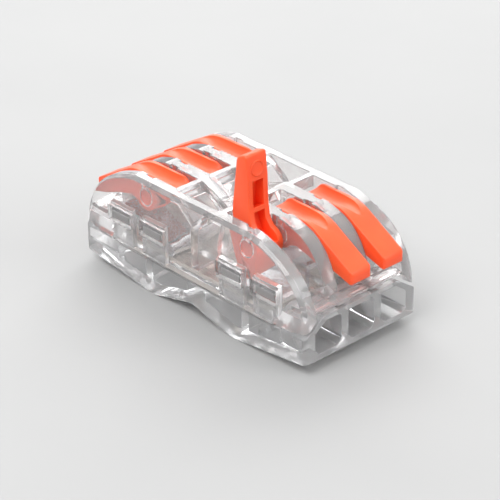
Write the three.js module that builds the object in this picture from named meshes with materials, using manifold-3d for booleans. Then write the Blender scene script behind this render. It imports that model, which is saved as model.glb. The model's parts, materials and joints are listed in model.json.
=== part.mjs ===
// Lever wire connector, three wires in and three wires out, in millimetres, +Z up.
// X runs from port end to port end, Y across the three poles, and z = 0 is the bench under it.
// End "a" is at +X, end "b" is at -X; poles 1, 2 and 3 run from -Y to +Y.
import * as THREE from "three";
import { mergeVertices } from "three/addons/utils/BufferGeometryUtils.js";
import Module from "manifold-3d";

const wasm = await Module();
wasm.setup();

// ---- Driving dimensions ----

const LENGTH = 41;
const COVER_WIDTH = 19;
const BASE_WIDTH = 18.8;
const COVER_TOP = 15.3;
const COVER_BOTTOM = 4.95;
const BASE_TOP = 4.65;
const CORNER_RADIUS = 0.6;
const END_UNDERSIDE = 1.5;
const MIDDLE_UNDERSIDE = 1.7;
const REST_FLAT = [6.8, 7.8];
const FLOOR_THICKNESS = 1.1;

const POLE_PITCH = 5.5;
const SLOT_WIDTH = 3.45;
const SLOT_END = 4.6;
const VALLEY = { half: 3.7, bottom: 12.5, ribBottom: 13.9, width: 15.2 };
const ROOF_THICKNESS = 1.2;

const PORT = { width: 4.3, bottom: 2.3, top: 6.5, depth: 4.3, corner: 0.6 };
const THROAT = { width: 3, top: 5.4, corner: 0.4 };
const PORT_BLOCK = { start: 15.1, shoulder: 4.9, top: 7.15, topHalf: 6.2 };
const CROSS_BEAM = { start: 16.9, end: 20, top: 7.9 };

const WINDOWS = [
  [4.95, 9.45],
  [11.1, 15.55],
];
const WINDOW_Z = [7.65, 9.7];
const TAB = { inner: 7.45, outer: 8.3, barb: 9.15, top: 9.5, grooveTop: 10.1, gap: 0.22 };
const MIDDLE_WALL = { half: 0.6, bottom: 6.15, top: 11.6 };
const BAR_PAD = { half: 1.4, halfWidth: 1.5, gap: 0.15 };
const CREASE = { drop: 2.9, slope: 0.35 }; // how far below the outline, and how far the band above leans in

const PIVOT = { x: 9.25, z: 12.5 };
const PIP_RADIUS = 1.1;
const PIP_LENGTH = 0.45;
const PIP_ROOT = 0.4;
const LEVER_WIDTH = 3.3;
const LEVER_SWING = THREE.MathUtils.degToRad(112);
const HUB_RADIUS = 1.8;
const POCKET_HALF = 0.85;
const EJECTOR = { x: 18.45, z: 9.57, radius: 0.95, depth: 0.6, tilt: 17 };

const STRIP_WIDTH = 3.2;
const BUSBAR = { half: 14.8, bottom: 5.3, thickness: 0.6, tongueStart: 12.4, tongueWidth: 2 };
const LOOP = { x: 5, z: 6.85, radius: 0.75 };
const SPRING_THICKNESS = 0.3;
const CAGE = { x: 13.7, barTop: 5.15, barBottom: 4.6, slope: 16, swing: 16.3 };
const CAGE_WINDOW = { width: 2.4, top: 9.2 };

const CLEARANCE = 0.25;
const PAST = 1; // how far a cutting body runs past the face it opens

// ---- Materials ----

const plastic = (color, roughness, opacity = 1) =>
  new THREE.MeshStandardMaterial({ color, roughness, metalness: 0, opacity, transparent: opacity < 1 });
const clearCover = () => plastic(0xeef1f2, 0.08, 0.35);
const clearBase = () => plastic(0xe4e8ea, 0.12, 0.35);
const orangeLever = () => plastic(0xff5a26, 0.42);
const metal = (color, roughness) => new THREE.MeshStandardMaterial({ color, roughness, metalness: 1 });
const tinnedCopper = () => metal(0xc9b59a, 0.3);
const springSteel = () => metal(0xb9bcc0, 0.25);

// ---- Geometry helpers ----

const point = (x, y) => new THREE.Vector2(x, y);

function toSolid(geometry) {
  const bare = new THREE.BufferGeometry().setAttribute("position", geometry.getAttribute("position"));
  bare.setIndex(geometry.index);
  const merged = mergeVertices(bare, 1e-4);
  return new wasm.Manifold(
    new wasm.Mesh({
      numProp: 3,
      vertProperties: new Float32Array(merged.getAttribute("position").array),
      triVerts: new Uint32Array(merged.index.array),
    }),
  );
}

function toGeometry(solid) {
  const { numProp, vertProperties, triVerts } = solid.getMesh();
  const positions = new Float32Array((vertProperties.length / numProp) * 3);
  for (let i = 0; i < positions.length / 3; i++) {
    positions.set(vertProperties.subarray(i * numProp, i * numProp + 3), i * 3);
  }
  const geometry = new THREE.BufferGeometry();
  geometry.setAttribute("position", new THREE.BufferAttribute(positions, 3));
  geometry.setIndex(new THREE.BufferAttribute(new Uint32Array(triVerts), 1));
  geometry.computeVertexNormals();
  return geometry;
}

const addAll = (solid, others) => others.reduce((sum, other) => sum.add(other), solid);
const cutAll = (solid, others) => others.reduce((rest, other) => rest.subtract(other), solid);

// Swaps that turn a body made along +Z: (x, y, z) goes to (x, -z, y), or to (z, x, y).
const standAlongY = (geometry) => geometry.rotateX(Math.PI / 2);
const lieAlongX = (geometry) =>
  geometry.applyMatrix4(new THREE.Matrix4().set(0, 0, 1, 0, 1, 0, 0, 0, 0, 1, 0, 0, 0, 0, 0, 1));

const extrude = (outline, depth) =>
  new THREE.ExtrudeGeometry(new THREE.Shape(outline), { depth, bevelEnabled: false });

// An outline in the XZ plane, extruded from y0 to y1.
const plateAlongY = (outline, y0, y1) =>
  toSolid(standAlongY(extrude(outline, y1 - y0)).translate(0, y1, 0));

// An outline in the YZ plane, extruded from x0 to x1.
const barAlongX = (outline, x0, x1) => toSolid(lieAlongX(extrude(outline, x1 - x0)).translate(x0, 0, 0));

const block = ([x0, x1], [y0, y1], [z0, z1]) =>
  toSolid(
    new THREE.BoxGeometry(x1 - x0, y1 - y0, z1 - z0).translate((x0 + x1) / 2, (y0 + y1) / 2, (z0 + z1) / 2),
  );

// A cylinder along Y about the lever pivot.
const pivotDisc = (radius, y0, y1) =>
  toSolid(
    new THREE.CylinderGeometry(radius, radius, y1 - y0, 24).translate(PIVOT.x, (y0 + y1) / 2, PIVOT.z),
  );

// Joins outlines of equal point counts, each at its own level along +Z, into one closed body.
function loft(rings) {
  const outlines = rings.map(({ outline }) =>
    THREE.ShapeUtils.isClockWise(outline) ? [...outline].reverse() : outline,
  );
  const count = outlines[0].length;
  const positions = outlines.flatMap((outline, r) => outline.flatMap((p) => [p.x, p.y, rings[r].level]));
  const index = [];
  for (let r = 0; r < rings.length - 1; r++) {
    for (let i = 0; i < count; i++) {
      const a = r * count + i;
      const b = r * count + ((i + 1) % count);
      index.push(a, b, b + count, a, b + count, a + count);
    }
  }
  const last = (rings.length - 1) * count;
  for (const [a, b, c] of THREE.ShapeUtils.triangulateShape(outlines[0], [])) index.push(c, b, a);
  for (const [a, b, c] of THREE.ShapeUtils.triangulateShape(outlines.at(-1), [])) {
    index.push(last + a, last + b, last + c);
  }
  const geometry = new THREE.BufferGeometry();
  geometry.setAttribute("position", new THREE.Float32BufferAttribute(positions, 3));
  geometry.setIndex(index);
  return geometry;
}

// A half outline from the top of the X = 0 line to its bottom, completed on the other side.
function mirrored(half) {
  const other = half.filter((p) => p.x > 1e-6).map((p) => point(-p.x, p.y));
  return [...half, ...other.reverse()];
}

const turned = (solid) => solid.rotate([0, 0, 180]);
const bothEnds = (solid) => [solid, turned(solid)];
const poles = [-1, 0, 1].map((i) => i * POLE_PITCH);
const ribs = [-0.5, 0.5].map((i) => i * POLE_PITCH);
const ribHalf = (POLE_PITCH - SLOT_WIDTH) / 2;
const outerSlotWall = POLE_PITCH + SLOT_WIDTH / 2;
const halfLength = LENGTH / 2;

// ---- Clear cover ----

// Side outline of the cover, drawn in from its edge by an inset.
function coverOutline(inset) {
  const top = COVER_TOP - inset;
  const end = halfLength - inset;
  const shoulder = point(14.8 - 0.5 * inset, 14.4 - 0.9 * inset);
  const brow = point(20 - inset, 12.3 - 0.6 * inset);
  const path = new THREE.Path();
  path.moveTo(0, top);
  path.lineTo(10.8 - 0.3 * inset, top);
  path.bezierCurveTo(shoulder.x, shoulder.y, brow.x, brow.y, end, 6);
  path.quadraticCurveTo(end, COVER_BOTTOM, end - 0.7, COVER_BOTTOM);
  path.lineTo(0, COVER_BOTTOM);
  return mirrored(path.getPoints(8));
}

// The body's long edges slope in above a crease on each side face.
function coverBlank() {
  const half = COVER_WIDTH / 2;
  const steps = [
    { level: half, inset: CREASE.drop },
    { level: half - CREASE.slope, inset: 0.2 },
    { level: half - 0.5, inset: 0.08 },
    { level: half - 0.9, inset: 0 },
  ];
  const near = steps.map(({ level, inset }) => ({ level: -level, outline: coverOutline(inset) }));
  const far = steps.map(({ level, inset }) => ({ level, outline: coverOutline(inset) })).reverse();
  return toSolid(standAlongY(loft([...near, ...far])));
}

// One pole's channel: roofed in the middle, open to the top and the end along the lever slot.
function poleChannel(y) {
  const rise = (COVER_TOP - VALLEY.bottom) / VALLEY.half;
  const roofAt = (x) => VALLEY.bottom + rise * x - ROOF_THICKNESS;
  const above = COVER_TOP + PAST;
  const out = halfLength + PAST;
  const half = [
    point(0, roofAt(0)),
    point(3.2, roofAt(3.2)),
    point(SLOT_END, roofAt(3.2)),
    point(SLOT_END, above),
    point(out, above),
    point(out, COVER_BOTTOM - PAST),
    point(0, COVER_BOTTOM - PAST),
  ];
  return plateAlongY(mirrored(half), y - SLOT_WIDTH / 2, y + SLOT_WIDTH / 2);
}

function valleyCut(bottom, y0, y1) {
  const rise = (COVER_TOP - bottom) / VALLEY.half;
  const reach = VALLEY.half + PAST / rise;
  const above = COVER_TOP + PAST;
  return plateAlongY([point(0, bottom), point(reach, above), point(-reach, above)], y0, y1);
}

// The ribs between the levers fall to the cross beam before the side walls do.
function ribEndCut() {
  const path = new THREE.Path();
  path.moveTo(10.8, COVER_TOP);
  path.bezierCurveTo(14.8, 14.6, 16.8, 13, 18.3, CROSS_BEAM.top);
  path.lineTo(halfLength + PAST, CROSS_BEAM.top);
  path.lineTo(halfLength + PAST, COVER_TOP + PAST);
  path.lineTo(10.8, COVER_TOP + PAST);
  return plateAlongY(path.getPoints(8), -outerSlotWall, outerSlotWall);
}

function portBlockOutline(grow) {
  const side = BASE_WIDTH / 2 + grow;
  return [
    point(side, 0),
    point(side, PORT_BLOCK.shoulder + grow),
    point(PORT_BLOCK.topHalf + grow / 2, PORT_BLOCK.top + grow),
    point(-PORT_BLOCK.topHalf - grow / 2, PORT_BLOCK.top + grow),
    point(-side, PORT_BLOCK.shoulder + grow),
    point(-side, 0),
  ];
}

function latchOpenings() {
  const openings = [];
  for (const [x0, x1] of WINDOWS) {
    const span = [x0 + 0.05, x1 - 0.05];
    const groove = block(span, [outerSlotWall - 0.05, TAB.outer + CLEARANCE], [0, TAB.grooveTop]);
    const window = block([x0, x1], [TAB.outer, COVER_WIDTH / 2 + PAST], WINDOW_Z);
    for (const cut of [groove, window]) {
      const far = [cut, cut.mirror([1, 0, 0])];
      openings.push(...far, ...far.map((solid) => solid.mirror([0, 1, 0])));
    }
  }
  return openings;
}

function pivotPips() {
  const pips = [];
  for (const y of poles) {
    for (const side of [-1, 1]) {
      const wall = y + (side * SLOT_WIDTH) / 2;
      const ends = [wall + PIP_ROOT * side, wall - PIP_LENGTH * side].sort((a, b) => a - b);
      pips.push(...bothEnds(pivotDisc(PIP_RADIUS, ...ends)));
    }
  }
  return pips;
}

function makeCover() {
  const pocketHalf = VALLEY.width / 2;
  const inner = ribs[1] - ribHalf;
  const outer = ribs[1] + ribHalf;
  const cuts = [
    ...poles.map(poleChannel),
    valleyCut(VALLEY.bottom, -pocketHalf, -outer),
    valleyCut(VALLEY.bottom, -inner, inner),
    valleyCut(VALLEY.bottom, outer, pocketHalf),
    ...ribs.map((y) => valleyCut(VALLEY.ribBottom, y - ribHalf, y + ribHalf)),
    ...bothEnds(ribEndCut()),
    ...bothEnds(barAlongX(portBlockOutline(CLEARANCE), PORT_BLOCK.start - CLEARANCE, halfLength + PAST)),
    ...latchOpenings(),
  ];
  const across = [-outerSlotWall - 0.2, outerSlotWall + 0.2];
  const beamZ = [PORT_BLOCK.top + CLEARANCE, CROSS_BEAM.top];
  const beam = block([CROSS_BEAM.start, CROSS_BEAM.end], across, beamZ);
  const wallX = [-MIDDLE_WALL.half, MIDDLE_WALL.half];
  const middleWall = block(wallX, across, [MIDDLE_WALL.bottom, MIDDLE_WALL.top]);
  return addAll(cutAll(coverBlank(), cuts), [...bothEnds(beam), middleWall, ...pivotPips()]);
}

// ---- Clear base ----

function undersideAt(x) {
  const [inner, outer] = REST_FLAT;
  if (x < inner) return MIDDLE_UNDERSIDE * (1 - x / inner);
  if (x < outer) return 0;
  return (END_UNDERSIDE * (x - outer)) / (halfLength - outer);
}

// The floor falls from a notch in the middle to two flats that it rests on, and rises again to the ends.
function baseBlank() {
  const half = [
    point(0, BASE_TOP),
    point(halfLength, BASE_TOP),
    point(halfLength, END_UNDERSIDE),
    point(REST_FLAT[1], 0),
    point(REST_FLAT[0], 0),
    point(0, MIDDLE_UNDERSIDE),
  ];
  return plateAlongY(mirrored(half), -BASE_WIDTH / 2, BASE_WIDTH / 2);
}

// An upright prism with the base's footprint, whose rounded corners trim everything that reaches them.
function roundedFootprint() {
  const y = BASE_WIDTH / 2;
  const r = CORNER_RADIUS;
  const path = new THREE.Path();
  path.absarc(halfLength - r, y - r, r, 0, Math.PI / 2, false);
  path.absarc(r - halfLength, y - r, r, Math.PI / 2, Math.PI, false);
  path.absarc(r - halfLength, r - y, r, Math.PI, 1.5 * Math.PI, false);
  path.absarc(halfLength - r, r - y, r, 1.5 * Math.PI, 2 * Math.PI, false);
  return toSolid(extrude(path.getPoints(4), COVER_TOP).translate(0, 0, -PAST));
}

function floorPocket(y) {
  const start = 1.6;
  const end = PORT_BLOCK.start;
  const middle = (REST_FLAT[0] + REST_FLAT[1]) / 2;
  const outline = [
    point(start, undersideAt(start) + FLOOR_THICKNESS),
    point(middle, FLOOR_THICKNESS),
    point(end, undersideAt(end) + FLOOR_THICKNESS),
    point(end, BASE_TOP + PAST),
    point(start, BASE_TOP + PAST),
  ];
  return bothEnds(plateAlongY(outline, y - SLOT_WIDTH / 2, y + SLOT_WIDTH / 2));
}

// Port section at pole y: its lower corners are cut, and an outer pole's upper corner follows the shoulder.
function portOutline(y, width, bottom, top, corner) {
  const half = width / 2;
  const out = Math.sign(y);
  const bevel = (side) => (side === out ? 3 * corner : corner / 2);
  const right = bevel(1);
  const left = bevel(-1);
  return [
    point(y - half + corner, bottom),
    point(y + half - corner, bottom),
    point(y + half, bottom + corner),
    point(y + half, top - 0.7 * right),
    point(y + half - right, top),
    point(y - half + left, top),
    point(y - half, top - 0.7 * left),
    point(y - half, bottom + corner),
  ];
}

function portCut(y) {
  const mouth = halfLength - PORT.depth;
  const wide = portOutline(y, PORT.width, PORT.bottom, PORT.top, PORT.corner);
  const narrow = portOutline(y, THROAT.width, PORT.bottom, THROAT.top, THROAT.corner);
  const rings = [
    { level: PORT_BLOCK.start - PAST, outline: narrow },
    { level: PORT_BLOCK.start, outline: narrow },
    { level: mouth, outline: wide },
    { level: halfLength + PAST, outline: wide },
  ];
  return toSolid(lieAlongX(loft(rings)));
}

function latchTabs() {
  const tabs = [];
  for (const [x0, x1] of WINDOWS) {
    const span = [x0 + TAB.gap, x1 - TAB.gap];
    const plate = block(span, [TAB.inner, TAB.outer], [BASE_TOP - PAST, TAB.top]);
    const barbOutline = [
      point(TAB.outer - 0.1, WINDOW_Z[0] + TAB.gap),
      point(TAB.barb, WINDOW_Z[0] + TAB.gap),
      point(TAB.barb, TAB.top - 0.5),
      point(TAB.barb - 0.4, TAB.top),
      point(TAB.outer - 0.1, TAB.top),
    ];
    const tab = plate.add(barAlongX(barbOutline, ...span));
    const far = [tab, tab.mirror([1, 0, 0])];
    tabs.push(...far, ...far.map((solid) => solid.mirror([0, 1, 0])));
  }
  return tabs;
}

function makeBase() {
  const portBlock = barAlongX(
    portBlockOutline(0).map((p) => point(p.x, Math.max(p.y, END_UNDERSIDE))),
    PORT_BLOCK.start,
    halfLength,
  );
  const padX = [-BAR_PAD.half, BAR_PAD.half];
  const padZ = [BASE_TOP - PAST, BUSBAR.bottom - BAR_PAD.gap];
  const pads = poles.map((y) => block(padX, [y - BAR_PAD.halfWidth, y + BAR_PAD.halfWidth], padZ));
  const blank = baseBlank().add(portBlock).add(turned(portBlock)).intersect(roundedFootprint());
  const solid = addAll(blank, [...pads, ...latchTabs()]);
  const cuts = poles.flatMap((y) => [...floorPocket(y), portCut(y), portCut(-y).rotate([0, 0, 180])]);
  return cutAll(solid, cuts);
}

// ---- Levers ----

// Side outline with the lever closed. It runs round the tip, under the finger, round the hub and the cam.
function leverOutline() {
  const path = new THREE.Path();
  path.moveTo(7, 15);
  path.lineTo(12, 15);
  path.bezierCurveTo(13.5, 15, 14.5, 14.3, 15.5, 13.72);
  path.lineTo(20.15, 11.1);
  path.quadraticCurveTo(20.5, 10.9, 20.5, 10.55);
  path.lineTo(20.42, 9.6);
  path.quadraticCurveTo(20.4, 9.28, 20.05, 9.33);
  path.lineTo(17.2, 10.2);
  path.lineTo(14.3, 11.3);
  path.lineTo(12, 11.9);
  path.absarc(PIVOT.x, PIVOT.z, HUB_RADIUS, -0.55, -2.4, true);
  path.lineTo(5.9, 12.35);
  path.quadraticCurveTo(5.45, 12.8, 5.6, 13.85);
  path.quadraticCurveTo(6, 14.8, 7, 15);
  return path.getPoints(8);
}

// A finger channel scooped along the lever's top, shallower towards the tip.
function scoopCut() {
  const path = new THREE.Path();
  path.moveTo(5, 12.9);
  path.quadraticCurveTo(6.2, 14.1, 8, 14.15);
  path.lineTo(11.4, 14.15);
  path.quadraticCurveTo(13.4, 14.1, 15.2, 13.88);
  path.lineTo(15.2, 16);
  path.lineTo(5, 16);
  return plateAlongY(path.getPoints(6), -1.2, 1.2);
}

// Two pockets lighten the finger from below, with a rib left between them.
function undersidePockets() {
  const outer = [point(13.75, 9), point(17, 9), point(17, 11.7), point(14.6, 12.9), point(13.75, 13.1)];
  const inner = [point(9.1, 9), point(13.15, 9), point(13.15, 13.3), point(9.1, 13.3)];
  return [outer, inner].map((outline) => plateAlongY(outline, -POCKET_HALF, POCKET_HALF));
}

// The round mark that a mould's ejector pin leaves near the tip of the underside.
function ejectorMark() {
  const geometry = new THREE.CylinderGeometry(EJECTOR.radius, EJECTOR.radius, EJECTOR.depth, 20);
  geometry.rotateX(Math.PI / 2);
  geometry.rotateY(THREE.MathUtils.degToRad(EJECTOR.tilt));
  geometry.translate(EJECTOR.x, 0, EJECTOR.z);
  return toSolid(geometry);
}

function makeLever() {
  const half = LEVER_WIDTH / 2;
  const recesses = [-1, 1].map((side) => {
    const ends = [side * (half + PAST), side * (half - PIP_LENGTH - 0.02)].sort((a, b) => a - b);
    return pivotDisc(PIP_RADIUS + 0.12, ...ends);
  });
  const cuts = [scoopCut(), ...undersidePockets(), ...recesses, ejectorMark()];
  return cutAll(plateAlongY(leverOutline(), -half, half), cuts);
}

// ---- Metal parts ----

// One bar joins both ends of a pole and narrows to pass through the clamp cages.
function makeBusbar() {
  const half = STRIP_WIDTH / 2;
  const tongueHalf = BUSBAR.tongueWidth / 2;
  const quarter = [
    point(0, half),
    point(BUSBAR.tongueStart, half),
    point(BUSBAR.tongueStart + 0.4, tongueHalf),
    point(BUSBAR.half, tongueHalf),
    point(BUSBAR.half, -tongueHalf),
    point(BUSBAR.tongueStart + 0.4, -tongueHalf),
    point(BUSBAR.tongueStart, -half),
    point(0, -half),
  ];
  const shape = new THREE.Shape(mirrored(quarter));
  const geometry = new THREE.ExtrudeGeometry(shape, { depth: BUSBAR.thickness, bevelEnabled: false });
  geometry.translate(0, 0, BUSBAR.bottom);
  return toSolid(geometry);
}

// The fixed leg of the clamp spring lies over the busbar and turns up into the spring's loop.
function makeSpring() {
  const outer = LOOP.radius + SPRING_THICKNESS / 2;
  const inner = LOOP.radius - SPRING_THICKNESS / 2;
  const legEnd = 9;
  const path = new THREE.Path();
  path.moveTo(legEnd, LOOP.z - outer);
  path.lineTo(LOOP.x, LOOP.z - outer);
  path.absarc(LOOP.x, LOOP.z, outer, -Math.PI / 2, Math.PI / 2, true);
  path.lineTo(LOOP.x, LOOP.z + inner);
  path.absarc(LOOP.x, LOOP.z, inner, Math.PI / 2, -Math.PI / 2, false);
  path.lineTo(legEnd, LOOP.z - inner);
  return plateAlongY(path.getPoints(8), -STRIP_WIDTH / 2, STRIP_WIDTH / 2);
}

// The moving leg rises from the loop and turns down into a cage, whose bar pulls the wire up to the busbar.
function makeCage() {
  const slope = Math.tan(THREE.MathUtils.degToRad(CAGE.slope));
  const start = LOOP.x + 0.3;
  const rootZ = LOOP.z + LOOP.radius;
  const half = SPRING_THICKNESS / 2;
  const at = (x, offset) => point(x, rootZ + (x - start) * slope + offset);
  const outline = [
    at(start, half),
    at(CAGE.x - 0.3, half),
    at(CAGE.x + half, -0.1),
    point(CAGE.x + half, CAGE.barBottom),
    point(CAGE.x - 0.4, CAGE.barBottom),
    point(CAGE.x - 0.4, CAGE.barTop),
    point(CAGE.x - half, CAGE.barTop),
    at(CAGE.x - half, -0.5),
    at(CAGE.x - 0.5, -half),
    at(start, -half),
  ];
  const window = block(
    [CAGE.x - PAST, CAGE.x + PAST],
    [-CAGE_WINDOW.width / 2, CAGE_WINDOW.width / 2],
    [CAGE.barTop, CAGE_WINDOW.top],
  );
  return plateAlongY(outline, -STRIP_WIDTH / 2, STRIP_WIDTH / 2).subtract(window);
}

// ---- Assembly ----

// Turns a geometry about the Y axis through (x, z); a positive angle lifts its +X side.
function lift(geometry, { x, z }, angle) {
  const copy = geometry.clone();
  copy.translate(-x, 0, -z);
  copy.rotateY(-angle);
  copy.translate(x, 0, z);
  return copy;
}

function addMesh(parent, name, geometry, material, y = 0) {
  const mesh = new THREE.Mesh(geometry, material);
  mesh.name = name;
  mesh.position.y = y;
  parent.add(mesh);
}

const lever = toGeometry(makeLever());
const cage = toGeometry(makeCage());
const spring = toGeometry(makeSpring());
const busbar = toGeometry(makeBusbar());

const connector = new THREE.Group();
addMesh(connector, "cover", toGeometry(makeCover()), clearCover());
addMesh(connector, "base", toGeometry(makeBase()), clearBase());
poles.forEach((y, i) => addMesh(connector, `busbar_${i + 1}`, busbar, tinnedCopper(), y));

for (const end of ["a", "b"]) {
  const half = new THREE.Group();
  const facing = end === "a" ? 1 : -1;
  if (end === "b") half.rotation.z = Math.PI;
  poles.forEach((y, i) => {
    const name = `${end}${i + 1}`;
    const raised = name === "a1";
    const leverShape = raised ? lift(lever, PIVOT, LEVER_SWING) : lever;
    const cageShape = raised ? lift(cage, LOOP, -THREE.MathUtils.degToRad(CAGE.swing)) : cage;
    addMesh(half, `lever_${name}`, leverShape, orangeLever(), facing * y);
    addMesh(half, `clamp_cage_${name}`, cageShape, springSteel(), facing * y);
    addMesh(half, `clamp_spring_${name}`, spring, springSteel(), facing * y);
  });
  connector.add(half);
}

export default connector;
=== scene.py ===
"""Lever wire connector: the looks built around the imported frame.

Shapes are written in millimetres in the row frame (+X end a, +Y across the poles, z = 0 the bench)
and scaled to metres when a mesh is made.
"""

import json
import math

import bmesh
import bpy
import numpy as np
from mathutils import Matrix, Vector


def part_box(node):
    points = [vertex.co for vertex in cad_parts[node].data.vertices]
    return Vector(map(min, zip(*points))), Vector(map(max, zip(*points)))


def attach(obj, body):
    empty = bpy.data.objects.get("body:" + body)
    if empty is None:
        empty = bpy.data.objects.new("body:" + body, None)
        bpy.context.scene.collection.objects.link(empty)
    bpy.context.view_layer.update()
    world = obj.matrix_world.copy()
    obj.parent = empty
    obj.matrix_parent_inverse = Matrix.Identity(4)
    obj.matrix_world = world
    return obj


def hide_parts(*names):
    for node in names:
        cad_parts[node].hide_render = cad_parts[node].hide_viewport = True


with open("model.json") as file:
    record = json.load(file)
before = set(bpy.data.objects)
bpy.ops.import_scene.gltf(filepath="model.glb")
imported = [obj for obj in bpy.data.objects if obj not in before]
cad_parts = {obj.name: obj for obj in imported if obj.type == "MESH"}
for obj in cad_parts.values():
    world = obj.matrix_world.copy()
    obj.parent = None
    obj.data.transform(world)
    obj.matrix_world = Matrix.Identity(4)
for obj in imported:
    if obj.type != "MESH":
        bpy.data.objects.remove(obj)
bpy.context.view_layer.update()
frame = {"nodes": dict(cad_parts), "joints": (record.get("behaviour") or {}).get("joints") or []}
MM = 0.001

# ---- Sizes read from the frame, in millimetres ----


def box_mm(node):
    low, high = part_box(node)
    return low / MM, high / MM


COVER_LOW, COVER_HIGH = box_mm("cover")
HALF_LENGTH = COVER_HIGH.x
HALF_WIDTH = COVER_HIGH.y
BASE_HALF_WIDTH = box_mm("base")[1].y
COVER_TOP = COVER_HIGH.z
COVER_BOTTOM = COVER_LOW.z
JOINTS = {joint["name"]: joint for joint in frame["joints"]}
PIVOT_X = abs(JOINTS["lever_a2_pivot"]["pos_m"][0]) / MM
PIVOT_Z = JOINTS["lever_a2_pivot"]["pos_m"][2] / MM
LOOP_X = abs(JOINTS["cage_a2_flex"]["pos_m"][0]) / MM
LOOP_Z = JOINTS["cage_a2_flex"]["pos_m"][2] / MM
LEVER_HALF = (box_mm("lever_a2")[1].y - box_mm("lever_a2")[0].y) / 2
POLES = [sum(box_mm(f"lever_a{i}")[k].y for k in (0, 1)) / 2 for i in (1, 2, 3)]
PITCH = POLES[1] - POLES[0]
BUSBAR_BOTTOM = box_mm("busbar_1")[0].z

# ---- Sizes of the details, in millimetres ----

GAP = 0.25
PAST = 1.0  # how far a cutting body runs past the face it opens

# Cover
SLOT_HALF = 1.725
SLOT_END = 4.6
CREASE_DROP, CREASE_LEAN, TOP_EDGE = 2.9, 0.35, 0.42
ARC_START = 10.8
VALLEY_HALF, VALLEY_BOTTOM, RIB_VALLEY_BOTTOM, VALLEY_REACH = 3.7, 12.5, 13.9, 7.6
ROOF, ROOF_END = 1.2, 3.2
BEAM_START, BEAM_END, BEAM_TOP = 16.9, 20.0, 7.9
BEAM_GROOVE, BEAM_STEP = 0.2, 19.6
MIDDLE_WALL_HALF, MIDDLE_WALL_Z = 0.6, (6.15, 11.6)
WALL_BITE = 0.2  # how far a body runs into the wall it grows from
WINDOWS = ((4.95, 9.45), (11.1, 15.55))
WINDOW_Z = (7.65, 9.7)
LATCH_GROOVE_TOP, LATCH_GROOVE_INSET = 10.1, 0.05
PIP_RADIUS, PIP_LENGTH, PIP_ROOT = 1.1, 0.45, 0.4
LEAD_IN_HALF, LEAD_IN_DEPTH, LEAD_IN_MOUTH, LEAD_IN_RISE = 0.65, 0.35, 0.1, 0.85
RIBS = [-PITCH / 2, PITCH / 2]
RIB_HALF = PITCH / 2 - SLOT_HALF
SLOT_SIDE = PITCH + SLOT_HALF

# Base
BASE_TOP = 4.65
BLOCK_START, BLOCK_SHOULDER, BLOCK_TOP, BLOCK_TOP_HALF = 15.1, 4.9, 7.15, 6.2
END_UNDERSIDE, MIDDLE_UNDERSIDE = 1.5, 1.7
REST_FLAT = (6.8, 7.8)
FLOOR, POCKET_START = 1.1, 1.6
UPRIGHT_CORNER = 0.6
PORT_MOUTH, PORT_BOTTOM = 4.3, 2.3
TAB_INNER, TAB_OUTER, TAB_BARB, TAB_TOP, TAB_GAP = 7.45, 8.3, 9.15, 9.5, 0.22
PAD_HALF, PAD_HALF_WIDTH, PAD_GAP = 1.4, 1.5, 0.15
WEB_X, WEB_FOOT, WEB_DROP = (8.3, 9.6), 0.4, 0.25
DIMPLE, DIMPLE_RADIUS, DIMPLE_DEPTH = (12.8, 2.9), 0.42, 0.3
GRIP_RIDGES, GRIP_RISE, GRIP_FACE, GRIP_ROOT = 7, 0.16, 0.05, 0.1
GRIP_BELOW, GRIP_ABOVE, GRIP_SIDES = 0.2, 0.54, (0.75, 0.5)  # plain margins round the ridges

# Lever, closed
HUB_RADIUS = 1.8
LEVER_TIP, TIP_CORNER, LEVER_EDGE = 20.47, 0.42, 0.16
CHANNEL_DEPTH, CHANNEL_REACH, CHANNEL_FADE, CHANNEL_LENGTH = 0.95, 1.2, 9.5, 5.1
HUB_FLARE, LEAST_REACH = 0.22, 0.18
POCKET_HALF = 0.85
RECESS_GAP, RECESS_FLOOR = 0.12, 0.02
FINGER_START, FINGER_END = (17.2, 10.2), (20.0, 9.38)
EJECTOR_X, EJECTOR_RADIUS, EJECTOR_WIRE, EJECTOR_SINK = 18.45, 0.93, 0.1, 0.01

# Spring loop
STRIP_HALF, LOOP_OUTER, LOOP_INNER, SPRING_FOOT = 1.6, 0.9, 0.6, 9

# Mould radii
COVER_ROUND, BASE_ROUND, SMALL_ROUND, METAL_ROUND = 0.11, 0.07, 0.05, 0.06

# ---- Outlines ----


def line_to(points, *more):
    points.extend(more)


def cubic_to(points, b, c, d, steps):
    a = points[-1]
    for i in range(1, steps + 1):
        t = i / steps
        u = 1 - t
        points.append(
            tuple(
                u**3 * a[k] + 3 * u * u * t * b[k] + 3 * u * t * t * c[k] + t**3 * d[k]
                for k in (0, 1)
            )
        )


def quad_to(points, b, c, steps):
    a = points[-1]
    for i in range(1, steps + 1):
        t = i / steps
        u = 1 - t
        points.append(tuple(u * u * a[k] + 2 * u * t * b[k] + t * t * c[k] for k in (0, 1)))


def arc_to(points, centre, radius, start, end, steps):
    for i in range(steps + 1):
        angle = start + (end - start) * i / steps
        points.append((centre[0] + radius * math.cos(angle), centre[1] + radius * math.sin(angle)))


def mirrored(half):
    """A half outline from the top of the x = 0 line to its bottom, completed on the other side."""
    return half + [(-x, z) for x, z in reversed(half) if x > 1e-6]


# ---- Meshes ----

AXES = {"x": (1, 2, 0), "y": (0, 2, 1), "z": (0, 1, 2)}
MERGE = 0.012  # corners closer than this become one
FLAT = math.radians(0.5)  # faces closer in angle than this become one


def new_object(name, bm):
    bmesh.ops.recalc_face_normals(bm, faces=bm.faces)
    mesh = bpy.data.meshes.new(name)
    bm.to_mesh(mesh)
    bm.free()
    made = bpy.data.objects.new(name, mesh)
    bpy.context.scene.collection.objects.link(made)
    return made


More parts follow.
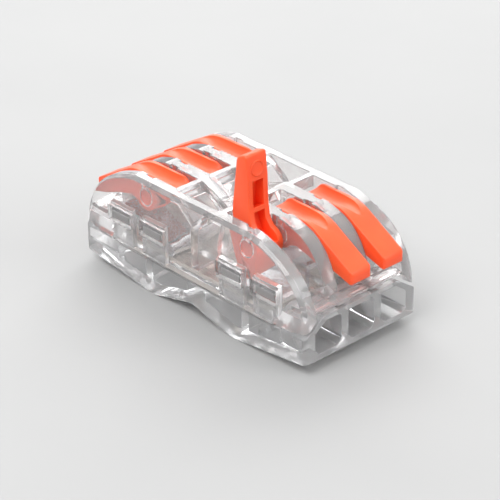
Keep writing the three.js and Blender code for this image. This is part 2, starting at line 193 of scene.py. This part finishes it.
def rings_to_bmesh(rings):
    """One closed body through rings of equal counts of 3-D points."""
    bm = bmesh.new()
    made = [[bm.verts.new(p) for p in ring] for ring in rings]
    count = len(made[0])
    for low, high in zip(made, made[1:]):
        for i in range(count):
            j = (i + 1) % count
            bm.faces.new((low[i], low[j], high[j], high[i]))
    bm.faces.new(list(reversed(made[0])))
    bm.faces.new(made[-1])
    return bm


def place(axis, p, level):
    spot = [0.0, 0.0, 0.0]
    a, b, c = AXES[axis]
    spot[a], spot[b], spot[c] = p[0], p[1], level
    return spot


def loft(axis, rings):
    """One body through (level, outline) pairs along an axis."""
    points = [[place(axis, p, level) for p in outline] for level, outline in rings]
    return new_object("solid", rings_to_bmesh(points))


def prism(axis, outline, start, end):
    return loft(axis, [(start, outline), (end, outline)])


def block(xs, ys, zs):
    outline = [(xs[0], ys[0]), (xs[1], ys[0]), (xs[1], ys[1]), (xs[0], ys[1])]
    return prism("z", outline, *zs)


def disc(centre, radius, y0, y1, steps=40):
    outline = []
    arc_to(outline, centre, radius, 0, math.tau * (1 - 1 / steps), steps - 1)
    return prism("y", outline, y0, y1)


def transformed(source, matrix):
    copy = bpy.data.objects.new(source.name, source.data.copy())
    copy.data.transform(matrix)
    if matrix.determinant() < 0:
        copy.data.flip_normals()
    bpy.context.scene.collection.objects.link(copy)
    return copy


TURN = Matrix.Rotation(math.pi, 4, "Z")
FLIP_X = Matrix.Scale(-1, 4, (1, 0, 0))
FLIP_Y = Matrix.Scale(-1, 4, (0, 1, 0))


def both_ends(solid):
    return [solid, transformed(solid, TURN)]


def four_corners(solid):
    far = [solid, transformed(solid, FLIP_X)]
    return far + [transformed(s, FLIP_Y) for s in far]


def settle(obj):
    """Replaces an object's mesh with the result of its modifiers."""
    graph = bpy.context.evaluated_depsgraph_get()
    mesh = bpy.data.meshes.new_from_object(obj.evaluated_get(graph))
    obj.modifiers.clear()
    obj.data = mesh
    return obj


def combine(obj, others, operation):
    for other in others:
        step = obj.modifiers.new("step", "BOOLEAN")
        step.operation = operation
        step.object = other
        step.solver = "MANIFOLD"
    settle(obj)
    for other in others:
        bpy.data.objects.remove(other)
    return obj


def soften(obj, width, angle=32, segments=3):
    """Rounds every edge that a mould would round."""
    bm = bmesh.new()
    bm.from_mesh(obj.data)
    bmesh.ops.remove_doubles(bm, verts=bm.verts, dist=MERGE)
    bmesh.ops.dissolve_limit(bm, angle_limit=FLAT, verts=bm.verts, edges=bm.edges)
    bm.to_mesh(obj.data)
    bm.free()
    bevel = obj.modifiers.new("edges", "BEVEL")
    bevel.width = width
    bevel.segments = segments
    bevel.limit_method = "ANGLE"
    bevel.angle_limit = math.radians(angle)
    bevel.use_clamp_overlap = False
    bevel.harden_normals = True
    obj.data.shade_smooth()
    return settle(obj)


def finish_piece(obj, name, finish, node, body):
    """Scales a piece to metres, gives it its material, hangs it on the body it rides on and hides the
    CAD part it stands in for.
    """
    obj.name = name
    obj.data.name = name
    obj.data.transform(Matrix.Scale(MM, 4))
    obj.data.materials.clear()
    obj.data.materials.append(finish)
    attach(obj, body)
    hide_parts(node)


# ---- Cover ----


def cover_outline(inset):
    """Side outline of the cover, drawn in from its edge by an inset."""
    top = COVER_TOP - inset
    end = HALF_LENGTH - inset
    shoulder = (14.8 - 0.5 * inset, 14.4 - 0.9 * inset)
    brow = (20 - inset, 12.3 - 0.6 * inset)
    half = [(0, top), (ARC_START - 0.3 * inset, top)]
    cubic_to(half, shoulder, brow, (end, 6), 30)
    quad_to(half, (end, COVER_BOTTOM), (end - 0.7, COVER_BOTTOM), 6)
    line_to(half, (0, COVER_BOTTOM))
    return mirrored(half)


def cover_blank():
    """The long edges slope in above a crease on each side face, then round over."""
    shelf = HALF_WIDTH - CREASE_LEAN
    steps = [(HALF_WIDTH, CREASE_DROP), (shelf, TOP_EDGE)]
    for i in range(1, 6):
        turned = math.sin(math.radians(90) * i / 5)
        steps.append((shelf - TOP_EDGE * turned * 1.2, TOP_EDGE * (1 - turned)))
    near = [(-level, cover_outline(inset)) for level, inset in steps]
    far = [(level, cover_outline(inset)) for level, inset in reversed(steps)]
    return loft("y", near + far)


def pole_channel(y):
    """One pole's channel: roofed in the middle, open to the top and the end along the lever slot."""
    rise = (COVER_TOP - VALLEY_BOTTOM) / VALLEY_HALF
    roof = [VALLEY_BOTTOM + rise * x - ROOF for x in (0, ROOF_END)]
    above = COVER_TOP + PAST
    out = HALF_LENGTH + PAST
    half = [
        (0, roof[0]),
        (ROOF_END, roof[1]),
        (SLOT_END, roof[1]),
        (SLOT_END, above),
        (out, above),
        (out, COVER_BOTTOM - PAST),
        (0, COVER_BOTTOM - PAST),
    ]
    return prism("y", mirrored(half), y - SLOT_HALF, y + SLOT_HALF)


def valley(bottom, y0, y1):
    """The V-shaped hollow across the middle of the top."""
    rise = (COVER_TOP - bottom) / VALLEY_HALF
    reach = VALLEY_HALF + PAST / rise
    return prism("y", [(0, bottom), (reach, COVER_TOP + PAST), (-reach, COVER_TOP + PAST)], y0, y1)


def rib_end_cut():
    """The ribs between the levers fall to the cross beam before the side walls do."""
    out = HALF_LENGTH + PAST
    points = [(ARC_START, COVER_TOP)]
    cubic_to(points, (14.8, 14.6), (16.8, 13), (18.3, BEAM_TOP), 24)
    line_to(points, (out, BEAM_TOP), (out, COVER_TOP + PAST), (ARC_START, COVER_TOP + PAST))
    return prism("y", points, -SLOT_SIDE, SLOT_SIDE)


def block_outline(grow, bottom=0.0):
    """End view of the port block, whose upper corners are cut off."""
    side = BASE_HALF_WIDTH + grow
    half = BLOCK_TOP_HALF + grow / 2
    return [
        (side, bottom),
        (side, BLOCK_SHOULDER + grow),
        (half, BLOCK_TOP + grow),
        (-half, BLOCK_TOP + grow),
        (-side, BLOCK_SHOULDER + grow),
        (-side, bottom),
    ]


def latch_openings():
    """Grooves up which the latch tabs slide, and the windows into which they snap."""
    cuts = []
    for x0, x1 in WINDOWS:
        inset = LATCH_GROOVE_INSET
        groove = block(
            (x0 + inset, x1 - inset), (SLOT_SIDE - inset, TAB_OUTER + GAP), (0, LATCH_GROOVE_TOP)
        )
        window = block((x0, x1), (TAB_OUTER, HALF_WIDTH + PAST), WINDOW_Z)
        cuts += four_corners(groove) + four_corners(window)
    return cuts


def pips():
    """Round pips in the slot walls, on which the levers turn."""
    made = []
    for y in POLES:
        for side in (-1, 1):
            wall = y + side * SLOT_HALF
            ends = sorted((wall + PIP_ROOT * side, wall - PIP_LENGTH * side))
            made += both_ends(disc((PIVOT_X, PIVOT_Z), PIP_RADIUS, *ends))
    return made


def beam_bar(side):
    """The cross beam under the lever tips, with a long groove and a stepped front edge."""
    low, top = BLOCK_TOP + GAP, BEAM_TOP
    sunk = top - BEAM_GROOVE
    outline = [(BEAM_START, low), (BEAM_START, top), (18.3, top), (18.42, sunk), (18.8, sunk)]
    line_to(outline, (18.92, top), (BEAM_STEP, top), (BEAM_STEP + 0.15, top - 0.17))
    line_to(outline, (BEAM_END, sunk), (BEAM_END, low))
    return prism("y", outline, -side, side)


def lead_in_grooves():
    """Shallow upright grooves in the slot walls, which lead a lever down on to its pips."""
    made = []
    xs = (PIVOT_X - LEAD_IN_HALF, PIVOT_X + LEAD_IN_HALF)
    zs = (PIVOT_Z + LEAD_IN_RISE, COVER_TOP + PAST)
    for y in POLES:
        for side in (-1, 1):
            wall = y + side * SLOT_HALF
            ends = sorted((wall + LEAD_IN_DEPTH * side, wall - LEAD_IN_MOUTH * side))
            made += both_ends(block(xs, ends, zs))
    return made


def make_cover():
    cuts = [pole_channel(y) for y in POLES] + lead_in_grooves()
    cuts += [
        valley(VALLEY_BOTTOM, -VALLEY_REACH, RIBS[0] - RIB_HALF),
        valley(VALLEY_BOTTOM, RIBS[0] + RIB_HALF, RIBS[1] - RIB_HALF),
        valley(VALLEY_BOTTOM, RIBS[1] + RIB_HALF, VALLEY_REACH),
    ]
    cuts += [valley(RIB_VALLEY_BOTTOM, y - RIB_HALF - 0.01, y + RIB_HALF + 0.01) for y in RIBS]
    cuts += both_ends(rib_end_cut())
    cuts += both_ends(prism("x", block_outline(GAP), BLOCK_START - GAP, HALF_LENGTH + PAST))
    cuts += latch_openings()
    cover = combine(cover_blank(), cuts, "DIFFERENCE")
    side = SLOT_SIDE + WALL_BITE
    wall = block((-MIDDLE_WALL_HALF, MIDDLE_WALL_HALF), (-side, side), MIDDLE_WALL_Z)
    return combine(cover, both_ends(beam_bar(side)) + [wall] + pips(), "UNION")


# ---- Base ----


def underside(x):
    """Height of the base's notched underside at x."""
    inner, outer = REST_FLAT
    if x < inner:
        return MIDDLE_UNDERSIDE * (1 - x / inner)
    if x < outer:
        return 0.0
    return END_UNDERSIDE * (x - outer) / (HALF_LENGTH - outer)


def footprint():
    """An upright prism whose rounded corners trim everything that reaches them."""
    r = UPRIGHT_CORNER
    outline = []
    for sx, sy, start in ((1, 1, 0), (-1, 1, 90), (-1, -1, 180), (1, -1, 270)):
        centre = (sx * (HALF_LENGTH - r), sy * (BASE_HALF_WIDTH - r))
        arc_to(outline, centre, r, math.radians(start), math.radians(start + 90), 8)
    return prism("z", outline, -PAST, COVER_TOP)


def base_blank():
    half = [
        (0, BASE_TOP),
        (HALF_LENGTH, BASE_TOP),
        (HALF_LENGTH, END_UNDERSIDE),
        (REST_FLAT[1], 0),
        (REST_FLAT[0], 0),
        (0, MIDDLE_UNDERSIDE),
    ]
    return prism("y", mirrored(half), -BASE_HALF_WIDTH, BASE_HALF_WIDTH)


def floor_pocket(y):
    """The hollow under one pole's metal parts, in each end."""
    middle = sum(REST_FLAT) / 2
    start = POCKET_START
    outline = [
        (start, underside(start) + FLOOR),
        (middle, FLOOR),
        (BLOCK_START, underside(BLOCK_START) + FLOOR),
        (BLOCK_START, BASE_TOP + PAST),
        (start, BASE_TOP + PAST),
    ]
    return both_ends(prism("y", outline, y - SLOT_HALF, y + SLOT_HALF))


def port_outline(y, width, top, corner):
    """End view of a wire port at pole y. An outer port's outer corner follows the block's shoulder."""
    half, bottom = width / 2, PORT_BOTTOM
    out = (y > 1) - (y < -1)
    right = 3 * corner if out == 1 else corner / 2
    left = 3 * corner if out == -1 else corner / 2
    return [
        (y - half + corner, bottom),
        (y + half - corner, bottom),
        (y + half, bottom + corner),
        (y + half, top - 0.7 * right),
        (y + half - right, top),
        (y - half + left, top),
        (y - half, top - 0.7 * left),
        (y - half, bottom + corner),
    ]


def port(y, end=1):
    """A wire port that narrows from its mouth to the throat."""
    wide = port_outline(y, width=4.3, top=6.5, corner=0.6)
    narrow = port_outline(y, width=3.0, top=5.4, corner=0.4)
    rings = [
        (BLOCK_START - PAST, narrow),
        (BLOCK_START, narrow),
        (HALF_LENGTH - PORT_MOUTH, wide),
        (HALF_LENGTH + PAST, wide),
    ]
    return loft("x", [(end * level, outline) for level, outline in rings])


def latch_tabs():
    """Upright tabs along both sides, each with a barb that fills a window."""
    tabs = []
    for x0, x1 in WINDOWS:
        span = (x0 + TAB_GAP, x1 - TAB_GAP)
        low = WINDOW_Z[0] + TAB_GAP
        outline = [
            (TAB_INNER, BASE_TOP - PAST),
            (TAB_OUTER, BASE_TOP - PAST),
            (TAB_OUTER, low),
            (TAB_BARB, low),
            (TAB_BARB, TAB_TOP - 0.5),
            (TAB_BARB - 0.4, TAB_TOP),
            (TAB_INNER, TAB_TOP),
        ]
        tabs += four_corners(prism("x", outline, *span))
    return tabs


def busbar_pads():
    """Pads that carry the middle of each busbar."""
    zs = (BASE_TOP - PAST, BUSBAR_BOTTOM - PAD_GAP)
    return [block((-PAD_HALF, PAD_HALF), (y - PAD_HALF_WIDTH, y + PAD_HALF_WIDTH), zs) for y in POLES]


def webs():
    """Cross webs that stiffen the floor pockets where the underside rests."""
    reach = SLOT_HALF + WALL_BITE
    zs = (FLOOR - WEB_FOOT, BASE_TOP - WEB_DROP)
    return [piece for y in POLES for piece in both_ends(block(WEB_X, (y - reach, y + reach), zs))]


def make_base():
    port_block = prism("x", block_outline(0, END_UNDERSIDE), BLOCK_START, HALF_LENGTH)
    blank = combine(base_blank(), both_ends(port_block), "UNION")
    combine(blank, [footprint()], "INTERSECT")
    combine(blank, busbar_pads() + latch_tabs(), "UNION")
    cuts = []
    for y in POLES:
        cuts += floor_pocket(y) + [port(y), port(y, -1)]
    depth = BASE_HALF_WIDTH - DIMPLE_DEPTH
    cuts += four_corners(disc(DIMPLE, DIMPLE_RADIUS, depth, HALF_WIDTH + PAST, 24))
    combine(blank, cuts, "DIFFERENCE")
    return combine(blank, webs(), "UNION")


def make_grips():
    """Finely ridged plates on the faces of the latch tabs, seen through the windows."""
    plates = []
    low, high = WINDOW_Z[0] + TAB_GAP + GRIP_BELOW, TAB_TOP - GRIP_ABOVE
    root, face, crest = TAB_BARB - GRIP_ROOT, TAB_BARB + GRIP_FACE, TAB_BARB + GRIP_RISE
    pitch = (high - low) / GRIP_RIDGES
    outline = [(root, low), (face, low)]
    for i in range(GRIP_RIDGES):
        start, peak, stop = (low + pitch * (i + part) for part in (0.25, 0.6, 0.95))
        line_to(outline, (face, start), (crest, peak), (face, stop))
    line_to(outline, (face, high), (root, high))
    for x0, x1 in WINDOWS:
        plates += four_corners(prism("x", outline, x0 + GRIP_SIDES[0], x1 - GRIP_SIDES[1]))
    return combine(plates[0], plates[1:], "UNION")


# ---- Levers ----


def lever_profile():
    """Top and underside heights of the closed lever against x."""
    top = [(5.5, 13.45), (5.56, 13.8)]
    quad_to(top, (6, 14.8), (7, 15), 10)
    line_to(top, (12, 15))
    cubic_to(top, (13.5, 15), (14.5, 14.3), (15.5, 13.72), 14)
    line_to(top, (20.08, 11.12))
    quad_to(top, (20.44, 10.91), (LEVER_TIP, 10.45), 8)
    bottom = [(5.5, 13.1), (5.6, 12.75), (5.75, 12.5), (5.95, 12.35)]
    arc_to(bottom, (PIVOT_X, PIVOT_Z), HUB_RADIUS, -2.4, -0.55, 30)
    line_to(bottom, (12, 11.9), (14.3, 11.3), FINGER_START, FINGER_END)
    quad_to(bottom, (20.35, 9.32), (LEVER_TIP, 9.75), 6)
    return np.array(top), np.array(bottom)


def smoothstep(a, b, x):
    t = min(1.0, max(0.0, (x - a) / (b - a)))
    return t * t * (3 - 2 * t)


def quarter(steps):
    """Sine and cosine through a quarter turn."""
    turns = [math.radians(90) * i / steps for i in range(steps + 1)]
    return [(math.sin(a), math.cos(a)) for a in turns]


def lever_stations():
    """Where the lever's sections stand along x, closer together round the hub end and the tip."""
    stations = [5.5, 5.53, 5.57, 5.65, 5.75, 5.9, 6.05, 6.2, 6.4, 6.6, 6.8, 7.0]
    stations += [7 + 0.25 * i for i in range(1, 52)]
    stations = [x for x in stations if x < LEVER_TIP - TIP_CORNER]
    return stations + [LEVER_TIP - TIP_CORNER * (1 - s) for s, _ in quarter(6)]


def channel_row(x, room):
    """The finger channel's section at x, as (y, depth below the top). It ends in a rounded scoop."""
    along = min(1.0, max(0.0, (x - CHANNEL_FADE) / CHANNEL_LENGTH))
    depth = CHANNEL_DEPTH * smoothstep(5.3, 7.2, x) * (1 - along**2)
    reach = CHANNEL_REACH * math.sqrt(1 - along**2)
    reach = max(LEAST_REACH, reach + HUB_FLARE * (1 - smoothstep(6.0, 8.4, x)))
    reach = min(reach, room)
    across = [i / 8 - 1 for i in range(17)]
    return [(reach * u, depth * max(0.0, 1 - u * u) ** 0.6) for u in across]


def lever_section(x, z_top, z_low):
    past = max(0.0, x - (LEVER_TIP - TIP_CORNER))
    half = LEVER_HALF - TIP_CORNER + math.sqrt(max(0.0, TIP_CORNER**2 - past**2))
    r = min(LEVER_EDGE, 0.42 * (z_top - z_low))
    flat, middle = half - r, (z_top + z_low) / 2
    ring = [(-flat, z_top)]
    ring += [(v, z_top - q) for v, q in channel_row(x, flat - 0.02)]
    ring += [(flat + r * s, z_top - r + r * c) for s, c in quarter(4)]
    ring.append((half, middle))
    ring += [(flat + r * c, z_low + r - r * s) for s, c in quarter(4)]
    ring.append((0, z_low))
    ring += [(-flat - r * s, z_low + r - r * c) for s, c in quarter(4)]
    ring.append((-half, middle))
    ring += [(-flat - r * c, z_top - r + r * s) for s, c in quarter(4)[:-1]]
    return [(x, y, z) for y, z in ring]


def make_lever():
    top, bottom = lever_profile()
    rings = []
    for x in lever_stations():
        z_top = float(np.interp(x, top[:, 0], top[:, 1]))
        z_low = float(np.interp(x, bottom[:, 0], bottom[:, 1]))
        rings.append(lever_section(x, z_top, z_low))
    lever = new_object("lever", rings_to_bmesh(rings))
    outer = [(13.75, 8.8), (17, 8.8), (17, 11.7), (14.6, 12.9), (13.75, 13.1)]
    inner = [(9.1, 8.8), (13.15, 8.8), (13.15, 13.2), (9.1, 13.2)]
    cuts = [prism("y", outline, -POCKET_HALF, POCKET_HALF) for outline in (outer, inner)]
    floor = LEVER_HALF - PIP_LENGTH - RECESS_FLOOR
    for side in (-1, 1):
        ends = sorted((side * (LEVER_HALF + PAST), side * floor))
        cuts.append(disc((PIVOT_X, PIVOT_Z), PIP_RADIUS + RECESS_GAP, *ends))
    combine(lever, cuts, "DIFFERENCE")
    combine(lever, [ejector_ring()], "UNION")
    return soften(lever, SMALL_ROUND, angle=50, segments=2)


def ejector_ring():
    """The round witness that a mould's ejector pin leaves near the tip of the underside."""
    steps, around = 48, 10
    rings = []
    bm = bmesh.new()
    for i in range(steps):
        a = math.tau * i / steps
        ring = []
        for k in range(around):
            b = math.tau * k / around
            r = EJECTOR_RADIUS + EJECTOR_WIRE * math.cos(b)
            ring.append(bm.verts.new((r * math.cos(a), r * math.sin(a), EJECTOR_WIRE * math.sin(b))))
        rings.append(ring)
    for i in range(steps):
        low, high = rings[i], rings[(i + 1) % steps]
        for k in range(around):
            m = (k + 1) % around
            bm.faces.new((low[k], low[m], high[m], high[k]))
    ring = new_object("ring", bm)
    (x0, z0), (x1, z1) = FINGER_START, FINGER_END
    slope = math.atan2(z0 - z1, x1 - x0)
    z = z0 - (EJECTOR_X - x0) * math.tan(slope) - EJECTOR_SINK
    ring.data.transform(Matrix.Translation((EJECTOR_X, 0, z)) @ Matrix.Rotation(slope, 4, "Y"))
    return ring


# ---- Spring loops ----


def make_spring():
    """The fixed leg of a clamp spring and the loop that its moving leg turns on."""
    centre = (LOOP_X, LOOP_Z)
    points = [(SPRING_FOOT, LOOP_Z - LOOP_OUTER)]
    arc_to(points, centre, LOOP_OUTER, -math.pi / 2, -1.5 * math.pi, 24)
    arc_to(points, centre, LOOP_INNER, math.pi / 2, 1.5 * math.pi, 24)
    line_to(points, (SPRING_FOOT, LOOP_Z - LOOP_INNER))
    return soften(prism("y", points, -STRIP_HALF, STRIP_HALF), SMALL_ROUND, angle=50, segments=2)


# ---- Materials ----


def material(name):
    made = bpy.data.materials.new(name)
    made.use_nodes = True
    nodes, links = made.node_tree.nodes, made.node_tree.links
    shader = next(n for n in nodes if n.type == "BSDF_PRINCIPLED")
    return made, nodes, links, shader


def noise(nodes, links, scale, detail, roughness, source):
    node = nodes.new("ShaderNodeTexNoise")
    node.inputs["Scale"].default_value = scale
    node.inputs["Detail"].default_value = detail
    node.inputs["Roughness"].default_value = roughness
    links.new(source, node.inputs["Vector"])
    return node.outputs["Fac"]


def ramp(nodes, links, factor, low, high, start=0.0, end=1.0):
    node = nodes.new("ShaderNodeMapRange")
    node.inputs["From Min"].default_value = start
    node.inputs["From Max"].default_value = end
    node.inputs["To Min"].default_value = low
    node.inputs["To Max"].default_value = high
    links.new(factor, node.inputs["Value"])
    return node.outputs["Result"]


def bump(nodes, links, height, distance, strength, shader):
    node = nodes.new("ShaderNodeBump")
    node.inputs["Distance"].default_value = distance
    node.inputs["Strength"].default_value = strength
    links.new(height, node.inputs["Height"])
    links.new(node.outputs["Normal"], shader.inputs["Normal"])


def colour_mix(nodes, links, factor, a, b):
    node = nodes.new("ShaderNodeMix")
    node.data_type = "RGBA"
    node.inputs["A"].default_value = (*a, 1)
    node.inputs["B"].default_value = (*b, 1)
    links.new(factor, node.inputs["Factor"])
    return node.outputs["Result"]


def clear_plastic(name, tint, deep, haze, gloss):
    """Clear plastic with a little haze, faint flow marks and a fine variation in gloss."""
    made, nodes, links, shader = material(name)
    spot = nodes.new("ShaderNodeTexCoord").outputs["Object"]
    flow = noise(nodes, links, 260, 2, 0.4, spot)
    fine = noise(nodes, links, 2600, 2, 0.5, spot)
    links.new(colour_mix(nodes, links, flow, tint, deep), shader.inputs["Base Color"])
    links.new(ramp(nodes, links, fine, gloss, gloss + 0.07, 0.35, 0.75), shader.inputs["Roughness"])
    shader.inputs["Transmission Weight"].default_value = 1 - haze
    shader.inputs["IOR"].default_value = 1.53
    bump(nodes, links, flow, 0.2 * MM, 0.003, shader)
    return made


def orange_plastic():
    """Opaque moulded plastic, finely grained, with a slight cloudiness in its colour."""
    made, nodes, links, shader = material("orange_lever")
    spot = nodes.new("ShaderNodeTexCoord").outputs["Object"]
    cloud = noise(nodes, links, 180, 3, 0.5, spot)
    grain = noise(nodes, links, 9000, 2, 0.6, spot)
    tone = ramp(nodes, links, cloud, 0.0, 1.0, 0.3, 0.7)
    colour = colour_mix(nodes, links, tone, (1.0, 0.088, 0.018), (1.0, 0.115, 0.028))
    links.new(colour, shader.inputs["Base Color"])
    links.new(ramp(nodes, links, grain, 0.34, 0.5), shader.inputs["Roughness"])
    shader.inputs["IOR"].default_value = 1.5
    shader.inputs["Subsurface Weight"].default_value = 0.15
    shader.inputs["Subsurface Radius"].default_value = (1.0, 0.3, 0.1)
    shader.inputs["Subsurface Scale"].default_value = 0.6 * MM
    bump(nodes, links, grain, 0.02 * MM, 0.35, shader)
    return made


def metal(name, light, dark, roughness):
    """Rolled strip, brushed along its length, with faint stains."""
    made, nodes, links, shader = material(name)
    spot = nodes.new("ShaderNodeTexCoord").outputs["Object"]
    stretch = nodes.new("ShaderNodeMapping")
    stretch.inputs["Scale"].default_value = (0.06, 1, 1)
    links.new(spot, stretch.inputs["Vector"])
    brushed = noise(nodes, links, 14000, 2, 0.6, stretch.outputs["Vector"])
    stain = noise(nodes, links, 500, 3, 0.5, spot)
    links.new(colour_mix(nodes, links, stain, light, dark), shader.inputs["Base Color"])
    links.new(
        ramp(nodes, links, brushed, roughness - 0.08, roughness + 0.12, 0.3, 0.7),
        shader.inputs["Roughness"],
    )
    shader.inputs["Metallic"].default_value = 1.0
    bump(nodes, links, brushed, 0.01 * MM, 0.3, shader)
    return made


CLEAR_COVER = clear_plastic(
    "clear_cover", tint=(1.0, 0.992, 0.99), deep=(0.985, 0.972, 0.97), haze=0.11, gloss=0.015
)
CLEAR_BASE = clear_plastic(
    "clear_base", tint=(0.99, 0.99, 0.992), deep=(0.965, 0.963, 0.965), haze=0.17, gloss=0.04
)
FROSTED = clear_plastic(
    "frosted_grip", tint=(0.6, 0.595, 0.59), deep=(0.45, 0.445, 0.44), haze=0.6, gloss=0.4
)
ORANGE = orange_plastic()
COPPER = metal("tinned_copper", (0.82, 0.78, 0.72), (0.72, 0.64, 0.55), 0.28)
STEEL = metal("spring_steel", (0.74, 0.75, 0.77), (0.6, 0.61, 0.63), 0.22)

# ---- Assembly ----


def dress_metal(node, finish):
    """A stamped metal part keeps its CAD mesh and gets broken edges and its own finish."""
    part = frame["nodes"][node]
    part.data.materials.clear()
    part.data.materials.append(finish)
    weld = part.modifiers.new("weld", "WELD")
    weld.merge_threshold = 0.001 * MM
    edges = part.modifiers.new("edges", "BEVEL")
    edges.width = METAL_ROUND * MM
    edges.segments = 2
    edges.limit_method = "ANGLE"
    edges.angle_limit = math.radians(40)
    edges.harden_normals = True


cover = soften(make_cover(), COVER_ROUND)
finish_piece(cover, "clear_cover_shell", CLEAR_COVER, "cover", "housing")
base = soften(make_base(), BASE_ROUND)
finish_piece(base, "clear_base_shell", CLEAR_BASE, "base", "housing")
finish_piece(make_grips(), "clear_base_grips", FROSTED, "base", "housing")

LEVER = make_lever()
SPRING = make_spring()
PIVOT = Vector((PIVOT_X, 0, PIVOT_Z))


def raised_by(name):
    """Turn that lifts a closed lever to where the CAD holds it at rest."""
    angle = math.radians(JOINTS[f"lever_{name}_pivot"]["range_deg"][0])
    return Matrix.Translation(PIVOT) @ Matrix.Rotation(angle, 4, "Y") @ Matrix.Translation(-PIVOT)


for end in ("a", "b"):
    turn = Matrix.Identity(4) if end == "a" else TURN
    for number, y in enumerate(POLES, 1):
        name = f"{end}{number}"
        across = Matrix.Translation((0, y, 0))
        node = f"lever_{name}"
        lever = transformed(LEVER, across @ turn @ raised_by(name))
        finish_piece(lever, f"{node}_moulded", ORANGE, node, node)
        spring = transformed(SPRING, across @ turn)
        node = f"clamp_spring_{name}"
        finish_piece(spring, f"spring_{name}_loop", STEEL, node, "housing")
        dress_metal(f"clamp_cage_{name}", STEEL)
for pattern in (LEVER, SPRING):
    bpy.data.objects.remove(pattern)

for number in (1, 2, 3):
    dress_metal(f"busbar_{number}", COPPER)

# ---- Stage ----


def make_floor():
    bm = bmesh.new()
    bmesh.ops.create_grid(bm, x_segments=2, y_segments=2, size=1.5)
    floor = new_object("floor", bm)
    floor.location.z = -0.02 * MM
    made, nodes, links, shader = material("pale_floor")
    spot = nodes.new("ShaderNodeTexCoord").outputs["Object"]
    soft = noise(nodes, links, 40, 4, 0.5, spot)
    colour = colour_mix(nodes, links, soft, (0.385, 0.385, 0.383), (0.41, 0.41, 0.407))
    links.new(colour, shader.inputs["Base Color"])
    shader.inputs["Roughness"].default_value = 0.75
    floor.data.materials.append(made)


def bearing(azimuth, elevation):
    """Unit vector from the object: azimuth turns from -Y towards +X, elevation lifts. In radians."""
    level = math.cos(elevation)
    return Vector(
        (math.sin(azimuth) * level, -math.cos(azimuth) * level, math.sin(elevation))
    )


def soft_light(name, azimuth, elevation, distance, size, power):
    """A softbox that faces the middle of the housing. Angles in degrees, sizes in metres."""
    lamp = bpy.data.lights.new(name, "AREA")
    lamp.shape = "RECTANGLE"
    lamp.size, lamp.size_y = size
    lamp.energy = power
    holder = bpy.data.objects.new(name, lamp)
    bpy.context.scene.collection.objects.link(holder)
    back = bearing(math.radians(azimuth), math.radians(elevation))
    holder.location = Vector((0, 0, 8 * MM)) + back * distance
    holder.rotation_mode = "QUATERNION"
    holder.rotation_quaternion = (-back).to_track_quat("-Z", "Y")


def make_camera():
    azimuth, elevation, roll = 0.8361, 0.5017, -0.015
    target, distance = Vector((0.83, -0.09, 5.97)) * MM, 275.8 * MM
    data = bpy.data.cameras.new("camera")
    data.sensor_width = 36
    data.lens = 158.4
    data.clip_start, data.clip_end = 0.01, 10
    camera = bpy.data.objects.new("camera", data)
    bpy.context.scene.collection.objects.link(camera)
    back = bearing(azimuth, elevation)
    level = Vector((math.cos(azimuth), math.sin(azimuth), 0))
    lift = back.cross(level)
    right = math.cos(roll) * level + math.sin(roll) * lift
    up = math.cos(roll) * lift - math.sin(roll) * level
    turn = Matrix((right, up, back)).transposed().to_4x4()
    camera.matrix_world = Matrix.Translation(target + back * distance) @ turn
    bpy.context.scene.camera = camera


def make_world():
    """Even studio surroundings, a little darker below the horizon."""
    world = bpy.data.worlds.new("studio")
    world.use_nodes = True
    nodes, join = world.node_tree.nodes, world.node_tree.links.new
    background = next(n for n in nodes if n.type == "BACKGROUND")
    direction = nodes.new("ShaderNodeTexCoord")
    upright = nodes.new("ShaderNodeMapping")
    upright.inputs["Rotation"].default_value = (0, math.radians(90), 0)
    sky = nodes.new("ShaderNodeTexGradient")
    shades = nodes.new("ShaderNodeValToRGB")
    low, high = shades.color_ramp.elements
    low.color, low.position = (0.5, 0.5, 0.51, 1), 0.05
    high.color, high.position = (0.9, 0.905, 0.915, 1), 0.7
    join(direction.outputs["Generated"], upright.inputs["Vector"])
    join(upright.outputs["Vector"], sky.inputs["Vector"])
    join(sky.outputs["Fac"], shades.inputs["Fac"])
    join(shades.outputs["Color"], background.inputs["Color"])
    background.inputs["Strength"].default_value = 0.9
    bpy.context.scene.world = world


make_floor()
make_camera()
make_world()
soft_light("back_softbox", 226, 34, 0.42, (0.46, 0.30), 1.7)
soft_light("key_softbox", 5, 58, 0.42, (0.26, 0.26), 1.3)
soft_light("side_softbox", 115, 35, 0.45, (0.2, 0.3), 0.6)

# A ray crosses many clear walls before it leaves the housing.
bpy.context.scene.view_settings.view_transform = "Standard"
paths = bpy.context.scene.cycles
paths.max_bounces = 32
paths.transmission_bounces = 32
paths.glossy_bounces = 16
paths.transparent_max_bounces = 16
